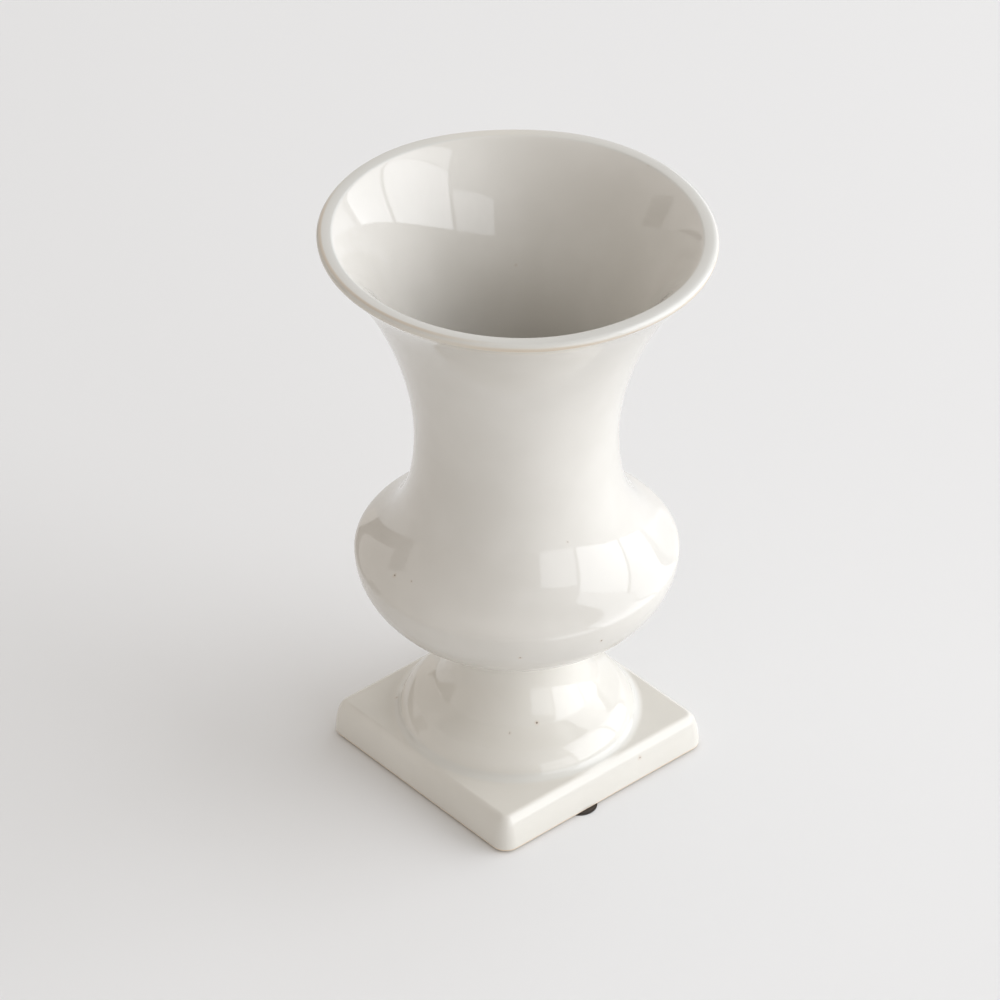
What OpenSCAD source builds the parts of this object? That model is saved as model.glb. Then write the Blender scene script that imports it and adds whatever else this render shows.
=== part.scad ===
// Footed urn vase in glazed ceramic, standing on stick-on pads.
// A slip-cast bowl with a flared neck is luted with clay slip onto a hollow cast pedestal.
// Millimetres, +Z up. The origin is the centre of the footprint, level with the undersides of the pads.

/* [Plinth] */
// Width of the square plinth across its widest line, at the foot rim
plinth_width = 96; // [94:0.5:130]
// Height of the plinth at its edges, from the foot rim
plinth_height = 13.5; // [12:0.1:20]
// How far the soft roll of each top edge comes in from the side
edge_roll_in = 4.4; // [2:0.1:5]
// How far the same roll reaches down the side
edge_roll_down = 11.8; // [5:0.1:12]
// Rounding of the four upright corners, at the foot rim
plinth_corner_radius = 5.7; // [5.2:0.1:12]
// Bevel round the bottom edge, where the glaze is wiped off
rim_bevel = 0.7; // [0.3:0.1:1.2]
// Width of the unglazed rim that is left round the hollow underside
rim_land = 9; // [6:0.1:14]
// Thickness of clay over the hollow underside
plinth_roof = 5.5; // [4:0.1:8]

/* [Foot and stem] */
// Widest radius of the round foot, where it spreads onto the plinth
foot_radius = 44.2; // [43.5:0.1:44.6]
// Radius of the roll at the bottom of its side
roll_radius = 41.9; // [41.5:0.1:42.5]
// Height of the bottom of the roll's side above the plinth
roll_lift = 2.1; // [1.5:0.1:2.5]
// Angle by which the roll's side leans in from upright
roll_lean = 15; // [10:0.5:20]
// Length over which the roll's side runs up, before it turns over
roll_run = 2.8; // [2:0.1:3.6]
// Radius of the crown, where the roll turns over into the slope above it
crown_radius = 36.9; // [36.2:0.1:37.6]
// Height of the crown above the plinth
crown_height = 8.9; // [8.2:0.1:9.6]
// Radius of the faint crease where the slope meets the sweep of the stem
crease_radius = 29.2; // [28.5:0.1:30.5]
// Height of the crease above the plinth
crease_height = 13.6; // [13:0.1:14.5]
// Radius of the stem at its narrowest
stem_radius = 20.6; // [19:0.1:22]
// Height of the sweep from the crease up to the upright stem
sweep_height = 19.8; // [17:0.1:20.5]
// Height of the pedestal casting above the foot rim
pedestal_height = 49.8; // [46:0.1:60]
// Radius of the round bore up through the stem
stem_bore_radius = 15; // [11:0.1:16]
// Radius of the hollow inside the foot, where it opens into the plinth
foot_hollow_radius = 36; // [30:0.1:37]
// Length over which the hollow rises straight, before it turns in
hollow_rise = 16; // [6:0.5:18]
// Length over which the hollow falls straight, from the bore of the stem
hollow_fall = 17; // [8:0.5:20]

/* [Joint] */
// Thickness of the layer of luting slip between the two castings
slip_thickness = 1.0; // [0.5:0.1:2]
// Length of the bowl's locating spigot inside the stem
spigot_length = 4; // [2:0.5:8]
// Gap round the spigot, which the slip fills
spigot_clearance = 0.5; // [0.3:0.05:1]

/* [Bowl] */
// Radius of the cove between the stem and the underside of the belly
cove_radius = 4; // [2:0.5:6]
// Angle by which the underside of the belly starts above level
underside_angle = 8.5; // [2:0.5:14]
// Reach of the flat part of the underside, outward from the cove
underside_reach = 11.5; // [6:0.5:18]
// Widest radius of the belly
belly_radius = 57.3; // [52:0.1:66]
// Height of the belly's widest line above the seat on the stem
belly_height = 35.6; // [30:0.5:46]
// Fullness of the belly below its widest line
belly_fullness = 18; // [12:0.5:24]
// Fullness of the shoulder above the belly's widest line
shoulder_fullness = 5; // [3:0.5:12]
// Length over which the neck runs down into the shoulder
shoulder_sweep = 44.3; // [30:0.5:48]
// Radius of the neck at its narrowest
neck_radius = 35.7; // [32:0.1:40]
// Height of the neck's narrowest line above the belly's widest line
neck_height = 49.8; // [46:0.5:60]
// Length over which the neck stays upright before it flares
neck_run = 29; // [20:0.5:40]
// Radius of the lip across its outer edge
lip_radius = 68.9; // [62:0.1:76]
// Height of the lip's top above the neck's narrowest line
flare_height = 84.2; // [72:0.1:96]
// Angle of the flare from upright, where it reaches the lip
flare_angle = 47.5; // [40:0.5:54]
// Length over which the flare runs straight to the lip
flare_run = 21; // [12:0.5:28]
// Width of the lip, across its flattened top
lip_width = 5.9; // [5:0.1:8]
// Rounding of the lip's outer edge
lip_outer_round = 1.7; // [1:0.1:2]
// Rounding of the lip's inner edge
lip_inner_round = 1.4; // [0.8:0.1:2]
// Thickness of the wall at the neck and the belly
wall_thickness = 5; // [4:0.1:7]
// Thickness of the floor inside the bowl, over the seat
floor_thickness = 8; // [6:0.1:12]
// Radius of the level part of the floor inside the bowl
floor_radius = 12; // [8:0.5:18]

/* [Pads] */
// Diameter of each stick-on pad
pad_diameter = 12.7; // [10:0.1:16]
// Thickness of each pad
pad_thickness = 1.4; // [1:0.1:3]
// Thickness of the adhesive on each pad
adhesive_thickness = 0.2; // [0.1:0.05:0.4]
// Margin of bare pad round the adhesive
adhesive_margin = 0.4; // [0.1:0.1:1]
// How far the centres of three pads sit in from the side of the plinth
pad_inset = 8.4; // [6:0.1:9]
// How far the centre of the right-hand pad sits in from its side, so that its edge shows
right_pad_inset = 4.7; // [3:0.1:9]
// How far each pad has been stuck on off the middle of its side
pad_stray = 8.5; // [0:0.5:20]

/* [Hidden] */

// Steps along each curve, and round each revolved piece
curve_steps = 28;
round_steps = 12;
turn_steps = 128;
// How far a cutting shape reaches past the faces that it cuts
cut_past = 1;
// How far the round foot runs down into the plinth that it is cast with
foot_sink = 2;
// Where its edge meets the plinth, below the flat top, and how full the spread is
spread_sink = 0.2;
spread_fullness = 0.8;
// Leans of the foot's faces from upright, and the lengths over which they run straight
crown_lean = 50;
crown_run = 2.6;
slope_foot_lean = 63;
slope_head_lean = 50;
slope_run = 2.5;
sweep_lean = 44;
sweep_run = 3;
stem_lean = 7;
stem_run = 11.5;
// How much softer the inner curves of the bowl are, as a share of its wall's thickness
inner_softness = 0.6;

glaze_white = [0.93, 0.92, 0.89];
clay_buff = [0.80, 0.69, 0.56];
pad_black = [0.10, 0.08, 0.07];
adhesive_grey = [0.62, 0.60, 0.56];

// Heights from the ground up
rim_z = pad_thickness + adhesive_thickness;
plinth_top_z = rim_z + plinth_height;
roll_z = plinth_top_z + roll_lift;
crown_z = plinth_top_z + crown_height;
crease_z = plinth_top_z + crease_height;
sweep_top_z = crease_z + sweep_height;
stem_top_z = rim_z + pedestal_height;
seat_z = stem_top_z + slip_thickness;
belly_z = seat_z + belly_height;
neck_z = belly_z + neck_height;
lip_top_z = neck_z + flare_height;
floor_z = seat_z + floor_thickness;

half_plinth = plinth_width / 2;
spigot_radius = stem_bore_radius - spigot_clearance;

// Points on a cubic curve from p to s, pulled towards q and r
function curve(p, q, r, s) = [
  for (i = [0:curve_steps])
    let (t = i / curve_steps, u = 1 - t)
      u * u * u * p + 3 * t * u * u * q + 3 * t * t * u * r + t * t * t * s
];

// Points on an elliptical arc about c, from angle a to angle b
function arc(c, rx, rz, a, b) = [
  for (i = [0:round_steps])
    let (t = a + (b - a) * i / round_steps)
      c + [rx * cos(t), rz * sin(t)]
];

// A path without its first point, to follow another that ends there
function tail(path) = [for (i = [1:len(path) - 1]) path[i]];

// The way up a face that leans in from upright by an angle
function leaning(angle) = [-sin(angle), cos(angle)];

// Plinth

// Rolled top edge, as seen in a section whose upright side is at x = 0
edge_roll = arc(
  [-edge_roll_in, plinth_top_z - edge_roll_down], edge_roll_in, edge_roll_down, 0, 90
);

// Half of the plinth's section, out to an upright side at x = side
function plinth_section(side) = concat(
  [[0, rim_z], [side - rim_bevel, rim_z], [side, rim_z + rim_bevel]],
  [for (point = edge_roll) point + [side, 0]],
  [[0, plinth_top_z]]
);

module at_corners(reach) {
  for (x = [-1, 1], y = [-1, 1])
    translate([x * reach, y * reach, 0])
      children();
}

// Square block with rolled top edges: four round corners and two crossing slabs
module plinth_block() {
  reach = half_plinth - plinth_corner_radius;
  at_corners(reach)
    rotate_extrude($fn = turn_steps)
      polygon(plinth_section(plinth_corner_radius));
  for (turn = [0:90:270])
    rotate([90, 0, turn])
      translate([0, 0, -reach])
        linear_extrude(2 * reach)
          polygon(plinth_section(half_plinth));
}

// Square hollow with round corners, open below
module plinth_hollow() {
  corner = max(plinth_corner_radius - rim_land / 2, plinth_corner_radius / 2);
  reach = half_plinth - rim_land - corner;
  height = plinth_height - plinth_roof + cut_past;
  translate([0, 0, rim_z - cut_past]) {
    at_corners(reach)
      cylinder(h = height, r = corner, $fn = turn_steps);
    for (turn = [0, 90])
      rotate([0, 0, turn])
        translate([-reach - corner, -reach, 0])
          cube([2 * (reach + corner), 2 * reach, height]);
  }
}

// Foot and stem

// Outline from the plinth up: spread, roll, crown, slope, crease, sweep, stem
roll_point = [roll_radius, roll_z];
crown_point = [crown_radius, crown_z];
crease_point = [crease_radius, crease_z];
stem_point = [stem_radius, sweep_top_z];
foot_outline = concat(
  [[0, plinth_top_z - foot_sink], [foot_radius, plinth_top_z - foot_sink]],
  curve(
    [foot_radius, plinth_top_z - spread_sink],
    [foot_radius - spread_fullness, plinth_top_z],
    roll_point - spread_fullness * leaning(roll_lean),
    roll_point
  ),
  tail(curve(
    roll_point,
    roll_point + roll_run * leaning(roll_lean),
    crown_point - crown_run * leaning(crown_lean),
    crown_point
  )),
  tail(curve(
    crown_point,
    crown_point + slope_run * leaning(slope_foot_lean),
    crease_point - slope_run * leaning(slope_head_lean),
    crease_point
  )),
  tail(curve(
    crease_point,
    crease_point + sweep_run * leaning(sweep_lean),
    stem_point - stem_run * leaning(stem_lean),
    stem_point
  )),
  [[stem_radius, stem_top_z], [0, stem_top_z]]
);

// Hollow of the foot, which narrows to the bore of the stem
hollow_start = [foot_hollow_radius, plinth_top_z - plinth_roof - cut_past];
hollow_end = [stem_bore_radius, stem_top_z - 2 * spigot_length];
foot_hollow = concat(
  [[0, hollow_start[1]]],
  curve(
    hollow_start,
    hollow_start + [0, hollow_rise],
    hollow_end - [0, hollow_fall],
    hollow_end
  ),
  [[stem_bore_radius, stem_top_z + cut_past], [0, stem_top_z + cut_past]]
);

module pedestal() {
  color(glaze_white)
    difference() {
      union() {
        plinth_block();
        rotate_extrude($fn = turn_steps) polygon(foot_outline);
      }
      plinth_hollow();
      rotate_extrude($fn = turn_steps) polygon(foot_hollow);
    }
}

// Joint

// Ring of slip between the castings, with a thin sleeve round the spigot
module joint_slip() {
  color(clay_buff)
    rotate_extrude($fn = turn_steps)
      polygon([
        [spigot_radius, stem_top_z - spigot_length],
        [stem_bore_radius, stem_top_z - spigot_length],
        [stem_bore_radius, stem_top_z],
        [stem_radius, stem_top_z],
        [stem_radius, seat_z],
        [spigot_radius, seat_z]
      ]);
}

// Bowl

// Outer face of the bowl, from the seat to the lip
cove = arc([stem_radius + cove_radius, seat_z], cove_radius, cove_radius, 180, 90 + underside_angle);
cove_end = cove[round_steps];
underside_way = [cos(underside_angle), sin(underside_angle)];
flare_way = [sin(flare_angle), cos(flare_angle)];
lip_outer_centre = [lip_radius - lip_outer_round, lip_top_z - lip_outer_round];
lip_outer_edge = arc(
  lip_outer_centre, lip_outer_round, lip_outer_round, -flare_angle, 90
);
belly_point = [belly_radius, belly_z];
neck_point = [neck_radius, neck_z];
outer_face = concat(
  cove,
  tail(curve(
    cove_end,
    cove_end + underside_reach * underside_way,
    belly_point - [0, belly_fullness],
    belly_point
  )),
  tail(curve(
    belly_point,
    belly_point + [0, shoulder_fullness],
    neck_point - [0, shoulder_sweep],
    neck_point
  )),
  tail(curve(
    neck_point,
    neck_point + [0, neck_run],
    lip_outer_edge[0] - flare_run * flare_way,
    lip_outer_edge[0]
  )),
  tail(lip_outer_edge)
);

// Inner face, from the lip down to the floor: the cast wall follows the outside but is softer
inner_radius = lip_radius - lip_width;
inner_soften = inner_softness * wall_thickness;
lip_inner_edge = arc(
  [inner_radius + lip_inner_round, lip_top_z - lip_inner_round],
  lip_inner_round, lip_inner_round, 90, 180 - flare_angle
);
lip_inner_end = lip_inner_edge[round_steps];
inner_belly = belly_point - [wall_thickness, 0];
inner_neck = neck_point - [wall_thickness, 0];
inner_face = concat(
  lip_inner_edge,
  tail(curve(
    lip_inner_end,
    lip_inner_end - flare_run * flare_way,
    inner_neck + [0, neck_run],
    inner_neck
  )),
  tail(curve(
    inner_neck,
    inner_neck - [0, shoulder_sweep - inner_soften],
    inner_belly + [0, shoulder_fullness + inner_soften],
    inner_belly
  )),
  tail(curve(
    inner_belly,
    inner_belly - [0, belly_fullness - inner_soften],
    [floor_radius + underside_reach + inner_soften, floor_z],
    [floor_radius, floor_z]
  )),
  [[0, floor_z]]
);

module bowl() {
  color(glaze_white)
    rotate_extrude($fn = turn_steps)
      polygon(concat(
        [
          [0, seat_z - spigot_length - slip_thickness],
          [spigot_radius, seat_z - spigot_length - slip_thickness],
          [spigot_radius, seat_z]
        ],
        outer_face,
        inner_face
      ));
}

// Pads

// Turn about the vertical and inset of the front, right, back and left pads
pad_turns = [270, 0, 90, 180];
pad_insets = [pad_inset, right_pad_inset, pad_inset, pad_inset];

module on_side(i) {
  rotate([0, 0, pad_turns[i]])
    translate([half_plinth - pad_insets[i], -pad_stray, 0])
      children();
}

module pad(i) {
  color(pad_black)
    on_side(i)
      cylinder(h = pad_thickness, d = pad_diameter, $fn = turn_steps);
}

module pad_adhesive() {
  color(adhesive_grey)
    for (i = [0:3])
      on_side(i)
        translate([0, 0, pad_thickness])
          cylinder(h = adhesive_thickness, d = pad_diameter - 2 * adhesive_margin, $fn = turn_steps);
}

bowl();
pedestal();
joint_slip();
pad(0);  // pad_front
pad(1);  // pad_right
pad(2);  // pad_back
pad(3);  // pad_left
pad_adhesive();
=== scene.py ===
"""Looks of the footed vase: glazed ceramic castings, rubber pads, a pale floor and soft studio light."""

import math

import bpy
import numpy as np
from mathutils import Matrix, Vector, noise


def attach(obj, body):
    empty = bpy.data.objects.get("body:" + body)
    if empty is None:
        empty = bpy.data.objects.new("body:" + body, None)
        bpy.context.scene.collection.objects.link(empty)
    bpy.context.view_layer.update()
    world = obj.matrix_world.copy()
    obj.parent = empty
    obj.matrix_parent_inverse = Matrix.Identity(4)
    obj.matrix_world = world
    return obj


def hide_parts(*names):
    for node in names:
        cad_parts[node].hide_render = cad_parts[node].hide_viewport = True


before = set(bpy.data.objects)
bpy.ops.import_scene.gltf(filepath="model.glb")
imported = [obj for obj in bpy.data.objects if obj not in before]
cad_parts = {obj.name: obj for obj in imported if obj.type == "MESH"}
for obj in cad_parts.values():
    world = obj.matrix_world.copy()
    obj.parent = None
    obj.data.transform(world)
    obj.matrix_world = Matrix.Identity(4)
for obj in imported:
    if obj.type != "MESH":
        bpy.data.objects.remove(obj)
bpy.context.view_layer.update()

MM = 0.001

# Sizes in millimetres, and angles in degrees

# They are those of the part's source, but for two. The lip is a little lower and smaller here, because the
# source has it at the greatest height and radius that the tilted one reaches. The leans at the two sides of
# the crease on the foot are further apart, which makes it a little crisper.

# The foot rim rests this high, on the adhesive of the pads
rim_z = 1.6
plinth_height = 13.5
plinth_width = 96.0
edge_roll_in = 4.4
edge_roll_down = 11.8
plinth_corner_radius = 5.7
rim_land = 9.0
plinth_roof = 5.5

roll_radius = 41.9
roll_lift = 2.1
roll_lean = 15.0
roll_run = 2.8
crown_radius = 36.9
crown_height = 8.9
crown_lean = 50.0
crown_run = 2.6
slope_foot_lean = 63.0
slope_head_lean = 54.0
slope_run = 2.5
crease_radius = 29.2
crease_height = 13.6
sweep_lean = 41.0
sweep_run = 3.0
stem_radius = 20.6
stem_lean = 7.0
stem_run = 11.5
sweep_height = 19.8
pedestal_height = 49.8
stem_bore_radius = 15.0
foot_hollow_radius = 36.0
hollow_rise = 16.0
hollow_fall = 17.0

slip_thickness = 1.0
spigot_length = 4.0
spigot_clearance = 0.5

cove_radius = 4.0
underside_angle = 8.5
underside_reach = 11.5
belly_radius = 57.3
belly_height = 35.6
belly_fullness = 18.0
shoulder_fullness = 5.0
shoulder_sweep = 44.3
neck_radius = 35.7
neck_height = 49.8
neck_run = 29.0
lip_radius = 68.4
flare_height = 82.4
flare_angle = 47.5
flare_run = 21.0
lip_width = 5.9
lip_outer_round = 1.7
lip_inner_round = 1.4
wall_thickness = 5.0
floor_thickness = 8.0
floor_radius = 12.0
# How much softer the inner curves of the bowl are, as a share of its wall's thickness
inner_softness = 0.6

plinth_top_z = rim_z + plinth_height
roll_z = plinth_top_z + roll_lift
crown_z = plinth_top_z + crown_height
crease_z = plinth_top_z + crease_height
sweep_top_z = crease_z + sweep_height
stem_top_z = rim_z + pedestal_height
seat_z = stem_top_z + slip_thickness
belly_z = seat_z + belly_height
neck_z = belly_z + neck_height
lip_top_z = neck_z + flare_height
floor_z = seat_z + floor_thickness
spigot_radius = stem_bore_radius - spigot_clearance
roll_start_z = plinth_top_z - edge_roll_down

# Forms that the scene adds

# The lip of the vase in the photograph isn't quite level: it falls this much for each mm along x and y
lip_fall_x = 0.006
lip_fall_y = 0.0257
# It sits this far off the axis
lip_shift = (0.40, 0.45)
# It also wavers: drop in mm, middle in degrees about the vertical, and half-width in degrees
lip_waves = [(1.2, 145.0, 26.0), (-0.6, -5.0, 20.0)]
# The last of the flare below the lip moves with it as one
lip_stiff_height = 4.0

# The glaze that gathers where the round foot meets the plinth
fillet_reach = 3.6
fillet_power = 1.3
# The flat ring of the plinth's top stops this far short of it
fillet_margin = 0.3

# The wiped lower edge of the plinth: inset from its side, and height above the rim
wiped_edge = [(1.0, 0.0), (0.5, 0.04), (0.18, 0.20), (0.04, 0.55)]
wiped_top = 1.1
# The least radius of a corner on the rolled edge
least_corner = 0.8
# The upper edge of the square hollow: growth of its ring, and drop
hollow_edge = [(-0.6, 0.0), (-0.1, 0.5)]
# The foot's hollow rises straight over this much less than in the source
hollow_ease = 1.0
# The inner edge of the rim
rim_inner_rise = 0.5
rim_inner_round = 0.3

# The spigot's mesh: gap at its end, ring inside its edge, and gap under the seat
spigot_end_gap = 0.01
spigot_edge = 0.5
spigot_top_gap = 0.3

# The seam of slip: gap to the castings, its rounding at the stem's face, and how deep that sits
seam_gap = 0.02
seam_round = 0.25
seam_inset = 0.05
seam_end_gap = 0.1

# Slow waves of the glaze: depth and reach in mm, and a seed
bowl_wave = (0.10, 34.0, 3.1)
pedestal_wave_out = (0.08, 26.0, 7.7)
pedestal_wave_up = (0.10, 30.0, 5.3)
# Those of the plinth grow to their full depth over this much of its height
wave_growth = 6.0
# The bowl stays true near its seat, and near its axis
true_above_seat = 1.0
true_radius = 5.0

# Fineness of the meshes

# Pitch along an outline and softening of its turns, in mm
bowl_pitch = 1.7
bowl_softening = 0.5
foot_pitch = 0.5
foot_softening = 1.2
# The most that one step of an outline turns, in degrees, and how many fine steps make up a pitch
step_turn = 7.0
fine_steps = 4
# Radius of the ring that a cap closes at the axis
cap_radius = 0.4
# Steps up the plinth's side, round its rolled edge, over its top, up the fillet and down the hollows
wall_steps = 2
edge_steps = 29
top_steps = 25
fillet_steps = 8
bore_steps = 5
hollow_steps = 24
# Points round a ring
bowl_points = 200
seam_points = 160
side_points = 84
corner_points = 20


# Outlines, as radius and height

def curve(start, leave, arrive, end, steps=40):
    """A smooth curve that leaves the start towards one point and comes to the end from another."""
    start, leave, arrive, end = (np.array(point, float) for point in (start, leave, arrive, end))
    t = np.linspace(0, 1, steps + 1)[:, None]
    u = 1 - t
    return u**3 * start + 3 * t * u**2 * leave + 3 * t**2 * u * arrive + t**3 * end


def arc(centre, radius, start, end, steps=24):
    """Points of a circle from one angle to another, in degrees."""
    angles = np.radians(np.linspace(start, end, steps + 1))
    return np.stack([centre[0] + radius * np.cos(angles), centre[1] + radius * np.sin(angles)], 1)


def join(*parts):
    """The parts one after another as one path, without points that come twice."""
    points = []
    for part in parts:
        for point in np.atleast_2d(np.array(part, float)):
            if not points or np.hypot(*(point - points[-1])) > 1e-4:
                points.append(point)
    return np.array(points)


def run_along(path):
    """The distance along the path at each of its points."""
    return np.concatenate([[0], np.hypot(*np.diff(path, axis=0).T).cumsum()])


def read_off(path, measure, values):
    """The points of the path at which its measure has these values."""
    return np.stack([np.interp(values, measure, path[:, axis]) for axis in (0, 1)], 1)


def softened(points, half):
    """Each point averaged with its neighbours, this many on either side. The ends stay."""
    weights = np.hanning(2 * half + 3)[1:-1]
    weights /= weights.sum()
    lead = 2 * points[0] - points[half:0:-1]
    tail = 2 * points[-1] - points[-2:-half - 2:-1]
    longer = np.concatenate([lead, points, tail])
    soft = np.stack([np.convolve(longer[:, axis], weights, "valid") for axis in (0, 1)], 1)
    soft[0], soft[-1] = points[0], points[-1]
    return soft


def even(path, pitch, softening):
    """The path at an even pitch, its sharp turns rounded the way a coat of glaze rounds them.

    Bends get extra points, so that no step turns by more than about the step turn.
    """
    run = run_along(path)
    fine = np.linspace(0, run[-1], int(run[-1] / (pitch / fine_steps)))
    half = int(round(softening / (fine[1] - fine[0])))
    points = softened(read_off(path, run, fine), half)
    steps = np.diff(points, axis=0)
    heading = np.degrees(np.unwrap(np.arctan2(steps[:, 1], steps[:, 0])))
    turning = np.concatenate([[0], np.abs(np.diff(heading)), [0]])
    measure = run_along(points) / pitch + turning.cumsum() / step_turn
    return read_off(points, measure, np.linspace(0, measure[-1], int(round(measure[-1])) + 1))


def rising(angle):
    """The way outward that rises at this angle."""
    return np.array([math.cos(math.radians(angle)), math.sin(math.radians(angle))])


def leaning(angle):
    """The way up a surface that leans back this many degrees from upright."""
    return np.array([-math.sin(math.radians(angle)), math.cos(math.radians(angle))])


def bowl_outline():
    """The outside, from the cove at the seat, round the belly and up the neck, to the top of the lip."""
    belly = np.array([belly_radius, belly_z])
    neck = np.array([neck_radius, neck_z])
    cove = arc((stem_radius + cove_radius, seat_z), cove_radius, 180, 90 + underside_angle)
    edge_centre = (lip_radius - lip_outer_round, lip_top_z - lip_outer_round)
    edge = arc(edge_centre, lip_outer_round, -flare_angle, 90)
    below_belly = belly - [0, belly_fullness]
    below_lip = edge[0] - flare_run * leaning(-flare_angle)
    return join(
        cove,
        curve(cove[-1], cove[-1] + underside_reach * rising(underside_angle), below_belly, belly),
        curve(belly, belly + [0, shoulder_fullness], neck - [0, shoulder_sweep], neck),
        curve(neck, neck + [0, neck_run], below_lip, edge[0]),
        edge,
    )


def cavity_outline():
    """The inside, from the lip down to the floor. Its curves are softer, as a drained casting's are."""
    belly = np.array([belly_radius - wall_thickness, belly_z])
    neck = np.array([neck_radius - wall_thickness, neck_z])
    ease = inner_softness * wall_thickness
    edge_centre = (lip_radius - lip_width + lip_inner_round, lip_top_z - lip_inner_round)
    edge = arc(edge_centre, lip_inner_round, 90, 180 - flare_angle)
    below_lip = edge[-1] - flare_run * leaning(-flare_angle)
    floor_edge = (floor_radius + underside_reach + ease, floor_z)
    return join(
        edge,
        curve(edge[-1], below_lip, neck + [0, neck_run], neck),
        curve(neck, neck - [0, shoulder_sweep - ease], belly + [0, shoulder_fullness + ease], belly),
        curve(belly, belly - [0, belly_fullness - ease], floor_edge, (floor_radius, floor_z)),
        [(cap_radius, floor_z)],
    )


def foot_outline():
    """The round foot and the stem, from the roll at the plinth to the top of the stem."""
    roll = np.array([roll_radius, roll_z])
    crown = np.array([crown_radius, crown_z])
    crease = np.array([crease_radius, crease_z])
    stem = np.array([stem_radius, sweep_top_z])
    above_crown = crown + slope_run * leaning(slope_foot_lean)
    below_crease = crease - slope_run * leaning(slope_head_lean)
    return join(
        curve(roll, roll + roll_run * leaning(roll_lean), crown - crown_run * leaning(crown_lean), crown),
        curve(crown, above_crown, below_crease, crease),
        curve(crease, crease + sweep_run * leaning(sweep_lean), stem - stem_run * leaning(stem_lean), stem),
        [(stem_radius, stem_top_z)],
    )


# Meshes

def add_object(name, data):
    made = bpy.data.objects.new(name, data)
    bpy.context.scene.collection.objects.link(made)
    return made


def ring_mesh(name, rings, loop=False):
    """A smooth mesh through rings of points in millimetres, capped at its ends or joined in a loop."""
    count = len(rings[0])
    total = len(rings)
    faces = []
    for low in range(total if loop else total - 1):
        high = (low + 1) % total
        for j in range(count):
            k = (j + 1) % count
            faces.append((low * count + j, low * count + k, high * count + k, high * count + j))
    if not loop:
        faces.append(tuple(range(count - 1, -1, -1)))
        faces.append(tuple((total - 1) * count + j for j in range(count)))
    mesh = bpy.data.meshes.new(name)
    mesh.from_pydata((np.concatenate(rings) * MM).tolist(), [], faces)
    mesh.validate()
    mesh.shade_smooth()
    return add_object(name, mesh)


def wander(point, wave):
    """The smooth unevenness of a cast and glazed piece at a point, in millimetres."""
    depth, reach, seed = wave
    return depth * noise.noise(Vector(point) / reach + Vector((seed, 2 * seed, 3 * seed)))


def flare_share(heights):
    """How far a height takes part in the lip's faults: not at the neck, wholly near the lip."""
    share = np.clip((heights - neck_z) / (lip_top_z - neck_z - lip_stiff_height), 0, 1)
    return share * share * (3 - 2 * share)


def lip_drop(points):
    """How far the flare sags where the lip isn't level, at each point."""
    drop = lip_fall_x * points[:, 0] + lip_fall_y * points[:, 1]
    turn = np.degrees(np.arctan2(points[:, 1], points[:, 0]))
    for depth, middle, half in lip_waves:
        away = (turn - middle + 180) % 360 - 180
        drop = drop + depth * np.exp(-(away / half) ** 2)
    return flare_share(points[:, 2]) * drop


def spokes(count):
    """The ways outward at evenly spaced angles."""
    angles = np.linspace(0, 2 * math.pi, count, endpoint=False)
    return np.stack([np.cos(angles), np.sin(angles)], 1)


def round_ring(around, radius, z):
    return np.concatenate([radius * around, np.full((len(around), 1), z)], 1)


def build_bowl():
    """The bowl's casting in one surface: spigot, outside, lip and cavity."""
    spigot_end = stem_top_z - spigot_length + spigot_end_gap
    spigot = [
        (cap_radius, spigot_end),
        (spigot_radius - spigot_edge, spigot_end),
        (spigot_radius, spigot_end),
        (spigot_radius, seat_z - spigot_top_gap),
    ]
    outside = even(bowl_outline(), bowl_pitch, bowl_softening)
    inside = even(cavity_outline(), bowl_pitch, bowl_softening)
    around = spokes(bowl_points)
    rings = []
    for radius, z in np.concatenate([spigot, outside, inside[1:]]):
        ring = round_ring(around, radius, z)
        ring[:, 2] -= lip_drop(ring)
        ring[:, :2] += flare_share(z) * np.array(lip_shift)
        if z > seat_z + true_above_seat and radius > true_radius:
            ring[:, :2] += np.array([wander(point, bowl_wave) for point in ring])[:, None] * around
        rings.append(ring)
    return ring_mesh("bowl_glazed", rings)


def square_ring(half, corner, z):
    """A square with round corners. Its points have the same number and order whatever its size."""
    reach = half - corner
    side = [(half, -reach + 2 * reach * i / side_points) for i in range(side_points)]
    bend = [
        (reach + corner * math.cos(angle), reach + corner * math.sin(angle))
        for angle in np.linspace(0, math.pi / 2, corner_points, endpoint=False)
    ]
    points = []
    for quarter in range(4):
        c, s = math.cos(math.radians(90 * quarter)), math.sin(math.radians(90 * quarter))
        points += [(c * x - s * y, s * x + c * y, z) for x, y in side + bend]
    return np.array(points)


def plinth_ring(inset, z):
    """A ring this far in from the plinth's sides."""
    corner = max(plinth_corner_radius - inset, least_corner)
    return square_ring(plinth_width / 2 - inset, corner, z)


def hollow_ring(growth, z):
    """A ring of the square hollow under the plinth, grown by this much."""
    half = plinth_width / 2 - rim_land
    corner = max(plinth_corner_radius - rim_land / 2, plinth_corner_radius / 2)
    return square_ring(half + growth, corner + growth, z)


def plinth_surface(x, y):
    """Height of the plinth's top at a point, with its rolled edges and corners."""
    reach = plinth_width / 2 - plinth_corner_radius
    over_x, over_y = abs(x) - reach, abs(y) - reach
    if over_x > 0 and over_y > 0:
        inset = plinth_corner_radius - math.hypot(over_x, over_y)
    else:
        inset = plinth_corner_radius - max(over_x, over_y)
    past = min(max(1 - inset / edge_roll_in, 0), 1)
    return roll_start_z + edge_roll_down * math.sqrt(1 - past * past)


def on_plinth(ring, lift=0.0):
    """The ring laid on the plinth's top, or this far above it."""
    heights = [plinth_surface(x, y) + lift for x, y, _ in ring]
    return np.column_stack([ring[:, :2], heights])


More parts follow.
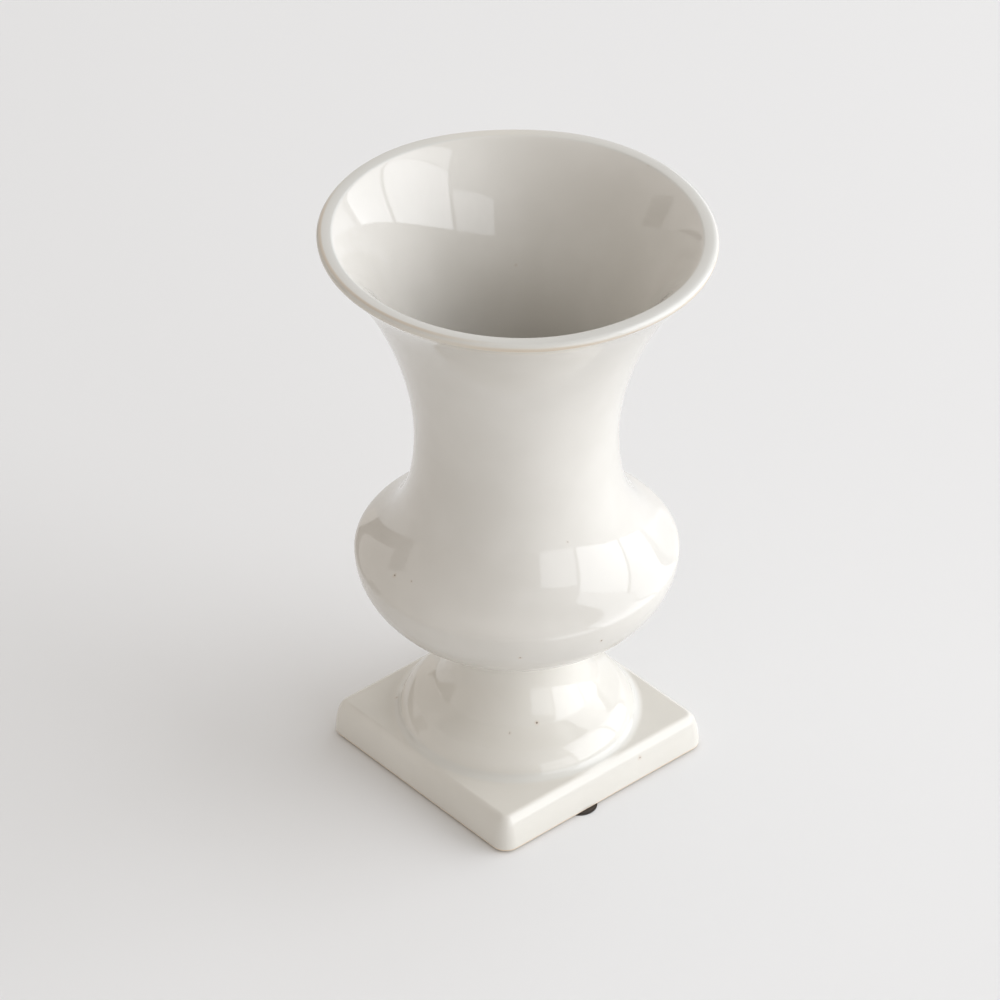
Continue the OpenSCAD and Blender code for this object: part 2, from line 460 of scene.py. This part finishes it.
def plinth_rings(around):
    """The unglazed rim, its wiped edge, the side, the rolled top edge and the top, up to the foot."""
    rings = [plinth_ring(inset, rim_z + rise) for inset, rise in wiped_edge]
    for z in np.linspace(rim_z + wiped_top, roll_start_z, wall_steps + 1):
        rings.append(plinth_ring(0.0, z))
    fillet_radius = roll_radius + fillet_reach
    last_inset = plinth_width / 2 - fillet_radius - fillet_margin
    last_angle = math.acos(1 - last_inset / edge_roll_in)
    for angle in np.linspace(0, last_angle, edge_steps + 1)[1:]:
        inset = edge_roll_in * (1 - math.cos(angle))
        rings.append(plinth_ring(inset, roll_start_z + edge_roll_down * math.sin(angle)))
    edge = rings[-1]
    base = on_plinth(round_ring(around, fillet_radius, 0))
    for share in np.linspace(0, 1, top_steps + 1)[1:-1]:
        rings.append(on_plinth(edge * (1 - share) + base * share))
    rings.append(base)
    for share in np.linspace(0, 1, fillet_steps + 1)[1:-1]:
        radius = roll_radius + fillet_reach * (1 - share) ** fillet_power
        rings.append(on_plinth(round_ring(around, radius, 0), roll_lift * share**2))
    return rings


def hollow_rings(around):
    """Down the bore, the hollow of the foot and the square hollow of the plinth, to the rim."""
    roof = np.array([foot_hollow_radius, plinth_top_z - plinth_roof])
    bore = np.array([stem_bore_radius, stem_top_z - 2 * spigot_length])
    rings = [
        round_ring(around, stem_bore_radius, z)
        for z in np.linspace(stem_top_z, bore[1], bore_steps + 1)
    ]
    rise = hollow_rise - hollow_ease
    bell = curve(roof, roof + [0, rise], bore - [0, hollow_fall], bore, hollow_steps)
    rings += [round_ring(around, radius, z) for radius, z in bell[::-1][1:]]
    rings += [hollow_ring(growth, roof[1] - drop) for growth, drop in hollow_edge]
    rings.append(hollow_ring(0.0, rim_z + rim_inner_rise))
    rings.append(hollow_ring(rim_inner_round, rim_z))
    return rings


def build_pedestal():
    """The pedestal's casting in one closed surface."""
    # The round rings have their points at the angles of the square one's
    guide = square_ring(plinth_width / 2, plinth_corner_radius, 0)
    angles = np.arctan2(guide[:, 1], guide[:, 0])
    around = np.stack([np.cos(angles), np.sin(angles)], 1)
    foot = even(foot_outline(), foot_pitch, foot_softening)
    rings = plinth_rings(around)
    rings += [round_ring(around, radius, z) for radius, z in foot]
    rings += hollow_rings(around)
    for ring in rings:
        for point in ring:
            rise = point[2] - rim_z - rim_inner_rise
            if rise > 0:
                outward = point[:2] / max(1.0, math.hypot(point[0], point[1]))
                point[:2] += wander(point, pedestal_wave_out) * outward
                point[2] += wander(point, pedestal_wave_up) * min(1, rise / wave_growth)
    return ring_mesh("pedestal_glazed", rings, loop=True)


def build_seam():
    """The luted seam, glazed over with the castings."""
    spigot_face = spigot_radius + seam_gap
    bore_face = stem_bore_radius - seam_gap
    lower_end = stem_top_z - spigot_length + seam_end_gap
    path = [
        (spigot_face, lower_end),
        (bore_face, lower_end),
        (bore_face, stem_top_z - seam_gap),
        (stem_radius - seam_round, stem_top_z + seam_gap),
        (stem_radius - seam_inset, stem_top_z + seam_round),
        (stem_radius - seam_gap, stem_top_z + slip_thickness / 2),
        (stem_radius - seam_inset, seat_z - seam_round),
        (stem_radius - seam_round, seat_z - seam_gap),
        (spigot_face, seat_z - seam_gap),
    ]
    around = spokes(seam_points)
    return ring_mesh("seam_glazed", [round_ring(around, radius, z) for radius, z in path], loop=True)


bowl = build_bowl()
pedestal = build_pedestal()
seam = build_seam()


# Directions and places for looks and light

# Level ways towards the right of the picture and towards the camera
picture_right = (0.656, 0.755, 0.0)
towards_camera = (0.755, -0.656, 0.0)


def speck_place(turn, height, path):
    """A place on an outline's surface, at an angle about the axis and a height that it passes once."""
    order = np.argsort(path[:, 1])
    radius = float(np.interp(height, path[order, 1], path[order, 0]))
    return (radius * math.cos(math.radians(turn)), radius * math.sin(math.radians(turn)), height)


outside_path = bowl_outline()
inside_path = cavity_outline()
foot_path = foot_outline()

# Iron specks in the glaze: place in mm, half-width in mm and darkness
specks = [
    (speck_place(-99, 94.5, outside_path), 0.50, 0.75),
    (speck_place(-90, 96, outside_path), 0.35, 0.60),
    (speck_place(-40, 81, outside_path), 0.42, 0.95),
    (speck_place(-10, 82.5, outside_path), 0.40, 0.70),
    (speck_place(-14, 114.5, outside_path), 0.35, 0.35),
    (speck_place(145, 88, outside_path), 0.45, 0.70),
    (speck_place(132, 72, outside_path), 0.35, 0.60),
    (speck_place(139, 180, inside_path), 0.40, 0.45),
    (speck_place(-27, 29.5, foot_path), 0.55, 0.80),
    (speck_place(-46, 27.5, foot_path), 0.45, 0.35),
    ((-32.0, -29.5, plinth_top_z), 0.50, 0.70),
    ((47.4, 17.0, 10.9), 0.60, 0.75),
    ((-20.0, 48.0, 9.0), 0.45, 0.70),
    ((-3.0, 63.0, lip_top_z - 1.5), 0.45, 0.60),
]


# Colours

bowl_pale = (0.664, 0.640, 0.592, 1)
bowl_deep = (0.631, 0.607, 0.558, 1)
# The foot's tones are painted lighter than the bowl's: painted light, as from the bright floor below
lit_foot_pale = (0.698, 0.672, 0.614, 1)
lit_foot_deep = (0.666, 0.640, 0.582, 1)
# Cool grey of the lip: gathered glaze with a painted reflection of the dark ceiling. Of the fillet:
# gathered glaze with painted shade in the crease where the foot meets the plinth
lip_cool_reflection = (0.565, 0.565, 0.535, 1)
fillet_cool_shade = (0.63, 0.635, 0.605, 1)
thin_tan = (0.50, 0.38, 0.25, 1)
# Warm painted shade on the underside of the lip, below the tan line
lip_underside_shade = (0.67, 0.615, 0.52, 1)
freckle_brown = (0.34, 0.25, 0.16, 1)
halo_brown = (0.50, 0.34, 0.20, 1)
iron_brown = (0.10, 0.06, 0.035, 1)
clay_deep = (0.66, 0.54, 0.40, 1)
clay_pale = (0.74, 0.63, 0.50, 1)
rubber_deep = (0.022, 0.016, 0.013, 1)
rubber_pale = (0.04, 0.03, 0.024, 1)
adhesive_deep = (0.034, 0.026, 0.021, 1)
adhesive_pale = (0.055, 0.043, 0.034, 1)
paper_white = (0.782, 0.779, 0.771, 1)
dark_wood = (0.16, 0.13, 0.10, 1)
curtain_grey = (0.42, 0.40, 0.38, 1)
left_light = (1.05, 0.99, 0.94, 1)
right_light = (1.0, 1.0, 1.0, 1)
window_light = (0.97, 1.0, 1.06)

# How strongly each tint shows in the glaze, from 0 to 1
# Strengths of the lip's painted reflection and of the fillet's painted shade, each with gathered glaze
lip_cool_reflection_share = 0.6
fillet_cool_shade_share = 0.35
# Strength of the warm painted shade below the lip's tan line
lip_underside_shade_share = 0.45
thin_tan_share = 0.48
freckle_share = 0.30
halo_share = 0.30
# The foot's painted lighter tone gives way to the bowl's between these heights in mm
lit_foot_change = (40.0, 75.0)
# The share of the cells that have a freckle
freckle_chance = 0.18

# Fineness of the noises, in cells per metre
drift_cells = 26.0
ragged_cells = 60.0
freckle_cells = 75.0
gloss_cells = 90.0
speck_cells = 900.0
clay_cells = 1400.0
rubber_cells = 2600.0
adhesive_tone_cells = 900.0
adhesive_grain_cells = 1500.0

# Depth of the grain of the bare clay, the rubber and the adhesive, in metres
clay_grain = 0.00008
rubber_grain = 0.00003
adhesive_grain = 0.00002


# Materials

def new_material(name):
    """A material and its main shader."""
    material = bpy.data.materials.new(name)
    material.use_nodes = True
    return material, material.node_tree.nodes["Principled BSDF"]


class Nodes:
    """Short ways to add shader nodes to one tree."""

    def __init__(self, tree, coordinates="Object"):
        self.tree = tree
        self.place = self.make("TexCoord").outputs[coordinates]

    def make(self, kind):
        return self.tree.nodes.new("ShaderNode" + kind)

    def put(self, socket, value):
        if isinstance(value, (int, float, tuple)):
            socket.default_value = value
        else:
            self.tree.links.new(value, socket)

    def math(self, operation, a, b=0.0, clamp=False):
        made = self.make("Math")
        made.operation = operation
        made.use_clamp = clamp
        self.put(made.inputs[0], a)
        self.put(made.inputs[1], b)
        return made.outputs[0]

    def plus(self, a, b):
        return self.math("ADD", a, b)

    def minus(self, a, b):
        return self.math("SUBTRACT", a, b)

    def times(self, a, b):
        return self.math("MULTIPLY", a, b)

    def vector(self, operation, a, b=(0.0, 0.0, 0.0), result="Vector"):
        made = self.make("VectorMath")
        made.operation = operation
        self.put(made.inputs[0], a)
        self.put(made.inputs[1], b)
        return made.outputs[result]

    def scaled(self, vector, factor):
        return self.vector("MULTIPLY", vector, (factor, factor, factor))

    def dot(self, a, b):
        return self.vector("DOT_PRODUCT", a, b, "Value")

    def level_reach(self, vector):
        """How far a point lies from the vertical through the origin."""
        return self.vector("LENGTH", self.vector("MULTIPLY", vector, (1.0, 1.0, 0.0)), result="Value")

    def rise(self, vector):
        """The upright part of a vector."""
        split = self.make("SeparateXYZ")
        self.put(split.inputs[0], vector)
        return split.outputs["Z"]

    def fade(self, value, start, end):
        """1 where the value is past the start, 0 past the end, and smooth between."""
        made = self.make("MapRange")
        made.interpolation_type = "SMOOTHSTEP"
        falls = end > start
        self.put(made.inputs["Value"], value)
        self.put(made.inputs["From Min"], min(start, end))
        self.put(made.inputs["From Max"], max(start, end))
        self.put(made.inputs["To Min"], 1.0 if falls else 0.0)
        self.put(made.inputs["To Max"], 0.0 if falls else 1.0)
        return made.outputs["Result"]

    def band(self, value, middle, half, soft):
        """1 within a half-width of the middle, with soft edges."""
        away = self.math("ABSOLUTE", self.minus(value, middle))
        return self.fade(away, half, half + soft)

    def between(self, share, low, high):
        """The low value where the share is 0, the high one where it is 1."""
        return self.plus(low, self.times(share, self.minus(high, low)))

    def noise(self, scale, detail=2.0, roughness=0.5, result="Fac"):
        made = self.make("TexNoise")
        self.put(made.inputs["Vector"], self.place)
        self.put(made.inputs["Scale"], scale)
        self.put(made.inputs["Detail"], detail)
        self.put(made.inputs["Roughness"], roughness)
        return made.outputs[result]

    def mix(self, share, a, b):
        """The colour a where the share is 0, b where it is 1."""
        made = self.make("Mix")
        made.data_type = "RGBA"
        self.put(made.inputs["Factor"], share)
        self.put(made.inputs["A"], a)
        self.put(made.inputs["B"], b)
        return made.outputs["Result"]

    def bump(self, height, distance):
        made = self.make("Bump")
        self.put(made.inputs["Height"], height)
        self.put(made.inputs["Distance"], distance)
        return made.outputs["Normal"]


class Glaze(Nodes):
    """The glaze's nodes. Each step takes the colour so far and gives the next. Measures are in mm."""

    def __init__(self, tree):
        super().__init__(tree)
        self.point = self.scaled(self.place, 1 / MM)
        self.height = self.rise(self.point)
        self.radius = self.level_reach(self.point)
        # Measured square to the tilted lip, and from its own middle
        self.lip_height = self.dot(self.point, (lip_fall_x, lip_fall_y, 1.0))
        self.lip_reach = self.level_reach(self.vector("SUBTRACT", self.point, (*lip_shift, 0.0)))
        # Unevenness, to either side of 0, of the lines at which the glaze thins or ends
        self.ragged = self.times(self.minus(self.noise(ragged_cells), 0.5), 3.0)

    def ground(self):
        """Off-white with a broad, faint drift of tone. The foot is a little warmer, and painted lighter as
        painted light from the bright floor below.
        """
        drift = self.fade(self.noise(drift_cells, 3.0), 0.65, 0.35)
        bowl_colour = self.mix(drift, bowl_pale, bowl_deep)
        # The foot's colour is painted lighter, as painted light from the floor below
        lit_foot_colour = self.mix(drift, lit_foot_pale, lit_foot_deep)
        return self.mix(self.fade(self.height, *lit_foot_change), bowl_colour, lit_foot_colour)

    def thickened_and_shaded(self, colour):
        """Glaze that has gathered on the lip and where the foot meets the plinth looks cooler; the lip's
        tone is also a painted reflection of the dark ceiling, and the fillet's a painted shade in the
        crease.
        """
        inner_edge = lip_radius - lip_width
        # Painted reflection of the dark ceiling on the lip's top, with gathered glaze
        lip_reflection_mask = self.fade(self.lip_height, lip_top_z - 0.6, lip_top_z - 1.7)
        lip_reflection_mask = self.times(lip_reflection_mask, self.fade(self.lip_reach, inner_edge + 0.9, inner_edge + 0.1))
        colour = self.mix(self.times(lip_reflection_mask, lip_cool_reflection_share), colour, lip_cool_reflection)
        # Painted shade in the crease where the foot meets the plinth, with gathered glaze
        fillet_shade_mask = self.band(self.radius, roll_radius + 0.9, 0.7, 1.2)
        fillet_shade_mask = self.times(fillet_shade_mask, self.band(self.height, plinth_top_z + 0.9, 1.0, 1.5))
        return self.mix(self.times(fillet_shade_mask, fillet_cool_shade_share), colour, fillet_cool_shade)

    def thinned_and_shaded(self, colour):
        """Glaze that has run thin shows the tan clay in a line along the lip. Below it, a faint warm cream
        band is painted shade on the lip's underside.

        The line climbs on to the lip's top towards the picture's left, and fades at the back.
        """
        left_share = self.fade(self.dot(self.point, picture_right), -38.0, 2.0)
        front_share = self.fade(self.dot(self.point, towards_camera), -8.0, -32.0)
        outside = self.fade(self.radius, lip_radius - 4.0, lip_radius - 5.5)
        edge_height = self.plus(self.lip_height, self.times(self.ragged, 0.2))
        low_line = self.times(self.band(edge_height, lip_top_z - 2.0, 0.3, 0.9), outside)
        low_line = self.times(low_line, self.minus(1.0, left_share))
        edge_reach = self.plus(self.lip_reach, self.times(self.ragged, 0.15))
        high_line = self.times(self.band(edge_reach, lip_radius - 1.15, 0.15, 0.7), left_share)
        high_line = self.times(high_line, self.fade(self.lip_height, lip_top_z - 1.0, lip_top_z - 2.0))
        edge_line = self.times(self.plus(low_line, high_line), front_share)
        # A faint band of warm painted shade on the lip's underside, below the tan line
        shade_below_line = self.times(self.band(self.lip_height, lip_top_z - 3.6, 1.2, 3.0), outside)
        colour = self.mix(self.times(shade_below_line, lip_underside_shade_share), colour, lip_underside_shade)
        return self.mix(self.times(edge_line, thin_tan_share), colour, thin_tan)

    def freckled(self, colour):
        """Pinprick freckles all over, few and faint."""
        cell = self.make("TexVoronoi")
        self.put(cell.inputs["Vector"], self.place)
        self.put(cell.inputs["Scale"], freckle_cells)
        away = self.times(cell.outputs["Distance"], 1 / MM / freckle_cells)
        chance = self.make("SeparateColor")
        self.put(chance.inputs[0], cell.outputs["Color"])
        chosen = self.math("GREATER_THAN", chance.outputs[0], 1 - freckle_chance)
        freckle = self.times(self.fade(away, 0.16, 0.30), chosen)
        return self.mix(self.times(freckle, freckle_share), colour, freckle_brown)

    def specked(self, colour):
        """Iron specks, each a dark core in a brown halo with an uneven edge."""
        uneven = self.vector("SUBTRACT", self.noise(speck_cells, result="Color"), (0.5, 0.5, 0.5))
        uneven_point = self.vector("ADD", self.point, self.scaled(uneven, 0.9))
        for centre, half, dark in specks:
            away = self.vector("DISTANCE", uneven_point, centre, "Value")
            halo = self.fade(away, half * 0.8, half * 2.4)
            core = self.fade(away, half * 0.45, half * 0.95)
            colour = self.mix(self.times(halo, halo_share * dark), colour, halo_brown)
            colour = self.mix(self.times(core, dark), colour, iron_brown)
        return colour


def glaze_material():
    """Gloss over the whole of both castings but the foot rim, which is wiped to bare, matt clay."""
    material, shader = new_material("glaze_off_white")
    glaze = Glaze(material.node_tree)
    colour = glaze.thinned_and_shaded(glaze.thickened_and_shaded(glaze.ground()))
    colour = glaze.specked(glaze.freckled(colour))
    grain = glaze.noise(clay_cells, 3.0, 0.6)
    wipe = glaze.plus(glaze.height, glaze.times(glaze.ragged, 0.12))
    bare = glaze.fade(wipe, rim_z + 0.60, rim_z + 1.05)
    colour = glaze.mix(bare, colour, glaze.mix(grain, clay_deep, clay_pale))
    gloss = glaze.plus(0.035, glaze.times(glaze.noise(gloss_cells), 0.03))
    glaze.put(shader.inputs["Base Color"], colour)
    glaze.put(shader.inputs["Roughness"], glaze.math("ADD", gloss, glaze.times(bare, 0.65), clamp=True))
    glaze.put(shader.inputs["IOR"], 1.5)
    # The slow waves of the glaze are in the mesh, so only the bare clay has a bump
    glaze.put(shader.inputs["Normal"], glaze.bump(glaze.times(grain, bare), clay_grain))
    return material


def rubber_material():
    material, shader = new_material("pad_rubber_black")
    nodes = Nodes(material.node_tree)
    grain = nodes.noise(rubber_cells, 2.0, 0.6)
    nodes.put(shader.inputs["Base Color"], nodes.mix(grain, rubber_deep, rubber_pale))
    nodes.put(shader.inputs["Roughness"], nodes.plus(0.45, nodes.times(grain, 0.2)))
    nodes.put(shader.inputs["Normal"], nodes.bump(grain, rubber_grain))
    return material


def adhesive_material():
    material, shader = new_material("pad_adhesive_film")
    nodes = Nodes(material.node_tree)
    tone = nodes.mix(nodes.noise(adhesive_tone_cells), adhesive_deep, adhesive_pale)
    nodes.put(shader.inputs["Base Color"], tone)
    nodes.put(shader.inputs["Roughness"], 0.5)
    nodes.put(shader.inputs["Normal"], nodes.bump(nodes.noise(adhesive_grain_cells), adhesive_grain))
    return material


glaze = glaze_material()
rubber = rubber_material()
adhesive = adhesive_material()

for piece in (bowl, pedestal, seam):
    piece.data.materials.append(glaze)
    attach(piece, "root")
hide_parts("bowl")
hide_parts("pedestal")
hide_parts("joint_slip")

for name in ("pad_front", "pad_right", "pad_back", "pad_left", "pad_adhesive"):
    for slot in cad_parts[name].material_slots:
        slot.material = adhesive if name == "pad_adhesive" else rubber


# Floor

floor_reach = 1.3
# The pads press this far into the soft sheet, in metres
floor_rise = 0.0008


def plain_paint(name, tone, roughness, gloss=0.5):
    material, shader = new_material(name)
    shader.inputs["Base Color"].default_value = tone
    shader.inputs["Roughness"].default_value = roughness
    shader.inputs["Specular IOR Level"].default_value = gloss
    return material


def lay_floor():
    corners = [
        (x * floor_reach, y * floor_reach, floor_rise)
        for x, y in ((-1, -1), (1, -1), (1, 1), (-1, 1))
    ]
    mesh = bpy.data.meshes.new("floor")
    mesh.from_pydata(corners, [], [(0, 1, 2, 3)])
    floor = add_object("floor", mesh)
    mesh.materials.append(plain_paint("paper_sweep", paper_white, 0.9, gloss=0.1))


lay_floor()


# Camera, at the photograph's viewpoint

view_azimuth = math.radians(49.0637)
view_elevation = math.radians(36.5203)
view_roll = math.radians(-0.2525)
# The distance and the offsets were solved in halves of the plinth's width
half_plinth_m = plinth_width / 2 * MM
view_distance = 45.1041 * half_plinth_m
view_across = 0.1293 * half_plinth_m
view_along = -1.77 * half_plinth_m
focal_pixels = 5999.874
frame_pixels = 1000
sensor_width = 36.0


def set_camera():
    back = Vector((
        math.sin(view_azimuth) * math.cos(view_elevation),
        -math.cos(view_azimuth) * math.cos(view_elevation),
        math.sin(view_elevation),
    ))
    level = Vector((math.cos(view_azimuth), math.sin(view_azimuth), 0))
    upright = back.cross(level)
    right = math.cos(view_roll) * level + math.sin(view_roll) * upright
    upward = math.cos(view_roll) * upright - math.sin(view_roll) * level
    data = bpy.data.cameras.new("camera")
    data.sensor_width = sensor_width
    data.sensor_fit = "HORIZONTAL"
    data.lens = focal_pixels * sensor_width / frame_pixels
    data.clip_start = 0.05
    data.clip_end = 50
    camera = add_object("camera", data)
    eye = -view_across * right - view_along * upward + view_distance * back + Vector((0, 0, rim_z * MM))
    turn = Matrix((right, upward, back)).transposed()
    camera.matrix_world = Matrix.Translation(eye) @ turn.to_4x4()
    bpy.context.scene.camera = camera


set_camera()


# Light, in metres and degrees

# The height on the axis from which the windows' elevations are measured
sight_height = 0.05


def window(name, facing, elevations, azimuths, distance, glow):
    """A soft panel that stands upright and faces the vase, between two elevations and two azimuths."""
    first, last = (distance * math.tan(math.radians(azimuth - facing)) for azimuth in azimuths)
    bottom, top = (distance * math.tan(math.radians(elevation)) for elevation in elevations)
    side = Vector((-math.sin(math.radians(facing)), math.cos(math.radians(facing)), 0))
    out = Vector((math.cos(math.radians(facing)), math.sin(math.radians(facing)), 0))
    centre_height = (bottom + top) / 2 + sight_height
    centre = distance * out + side * (first + last) / 2 + Vector((0, 0, centre_height))
    data = bpy.data.lights.new(name, "AREA")
    data.shape = "RECTANGLE"
    data.size = last - first
    data.size_y = top - bottom
    # The power grows with the panel's area, so that its glow is the same at any size
    data.energy = glow * math.pi * data.size * data.size_y
    data.color = window_light
    lamp = add_object(name, data)
    # A lamp shines along its own -z
    axes = Matrix((side, Vector((0, 0, 1)), out)).transposed()
    lamp.matrix_world = Matrix.Translation(centre) @ axes.to_4x4()
    lamp.visible_camera = False


window("window_a", facing=50, elevations=(-10, 42), azimuths=(15, 59), distance=2.6, glow=3.05)
window("window_b", facing=50, elevations=(-10, 42), azimuths=(61.5, 86), distance=2.6, glow=2.4)
window("window_upper", facing=50, elevations=(42.5, 54), azimuths=(15, 86), distance=2.6, glow=2.1)
window("window_c", facing=-4, elevations=(-10, 30), azimuths=(-20, 12), distance=3.2, glow=1.5)
window("window_d", facing=106, elevations=(-5, 48), azimuths=(91, 126), distance=2.6, glow=0.8)


def reflected_card(name, azimuths, distance, base, top, tone):
    """A dark thing in the room, which shows in the gloss of the glaze alone."""
    low = [
        Vector((distance * math.cos(math.radians(a)), distance * math.sin(math.radians(a)), base))
        for a in azimuths
    ]
    high = [corner + Vector((0, 0, top - base)) for corner in reversed(low)]
    mesh = bpy.data.meshes.new(name)
    mesh.from_pydata(low + high, [], [(0, 1, 2, 3)])
    card = add_object(name, mesh)
    mesh.materials.append(plain_paint(name + "_paint", tone, 0.8))
    card.visible_camera = False
    card.visible_diffuse = False
    card.visible_shadow = False


reflected_card("low_cupboard", (-190, -157), distance=2.4, base=-0.3, top=0.45, tone=dark_wood)
reflected_card("tall_cupboard", (-157, -142), distance=2.4, base=-0.3, top=1.25, tone=dark_wood)
reflected_card("curtain", (-57, -21), distance=3.2, base=-0.3, top=1.85, tone=curtain_grey)

# Glow of the walls and the ceiling, on the camera's side of the vase and behind it
wall_front_left = 0.61
wall_front_right = 0.65
wall_back_left = 0.84
wall_back_right = 0.66
ceiling_front = 0.5
ceiling_back = 0.36
ceiling_top = 0.84
# Where one side of the room fades into the other, as a part of the way towards it
side_change = (0.25, -0.25)
# Where the ceiling gives way to the walls, and its top to the rest, as the sine of the elevation
wall_change = (0.76, 0.66)
top_change = (0.94, 0.86)


def light_room():
    """The even light of the room, from its walls, its ceiling and straight above."""
    world = bpy.data.worlds.new("studio")
    bpy.context.scene.world = world
    world.use_nodes = True
    background = world.node_tree.nodes["Background"]
    room = Nodes(world.node_tree, "Generated")
    rise = room.rise(room.place)
    right_share = room.fade(room.dot(room.place, picture_right), *side_change)
    front_share = room.fade(room.dot(room.place, towards_camera), *side_change)
    walls_front = room.between(right_share, wall_front_left, wall_front_right)
    walls_back = room.between(right_share, wall_back_left, wall_back_right)
    walls = room.between(front_share, walls_back, walls_front)
    ceiling = room.between(front_share, ceiling_back, ceiling_front)
    below_top = room.between(room.fade(rise, *wall_change), walls, ceiling)
    strength = room.between(room.fade(rise, *top_change), below_top, ceiling_top)
    room.put(background.inputs["Strength"], strength)
    room.put(background.inputs["Color"], room.mix(right_share, left_light, right_light))


light_room()

bpy.context.scene.view_settings.view_transform = "Standard"
bpy.context.scene.view_settings.look = "None"
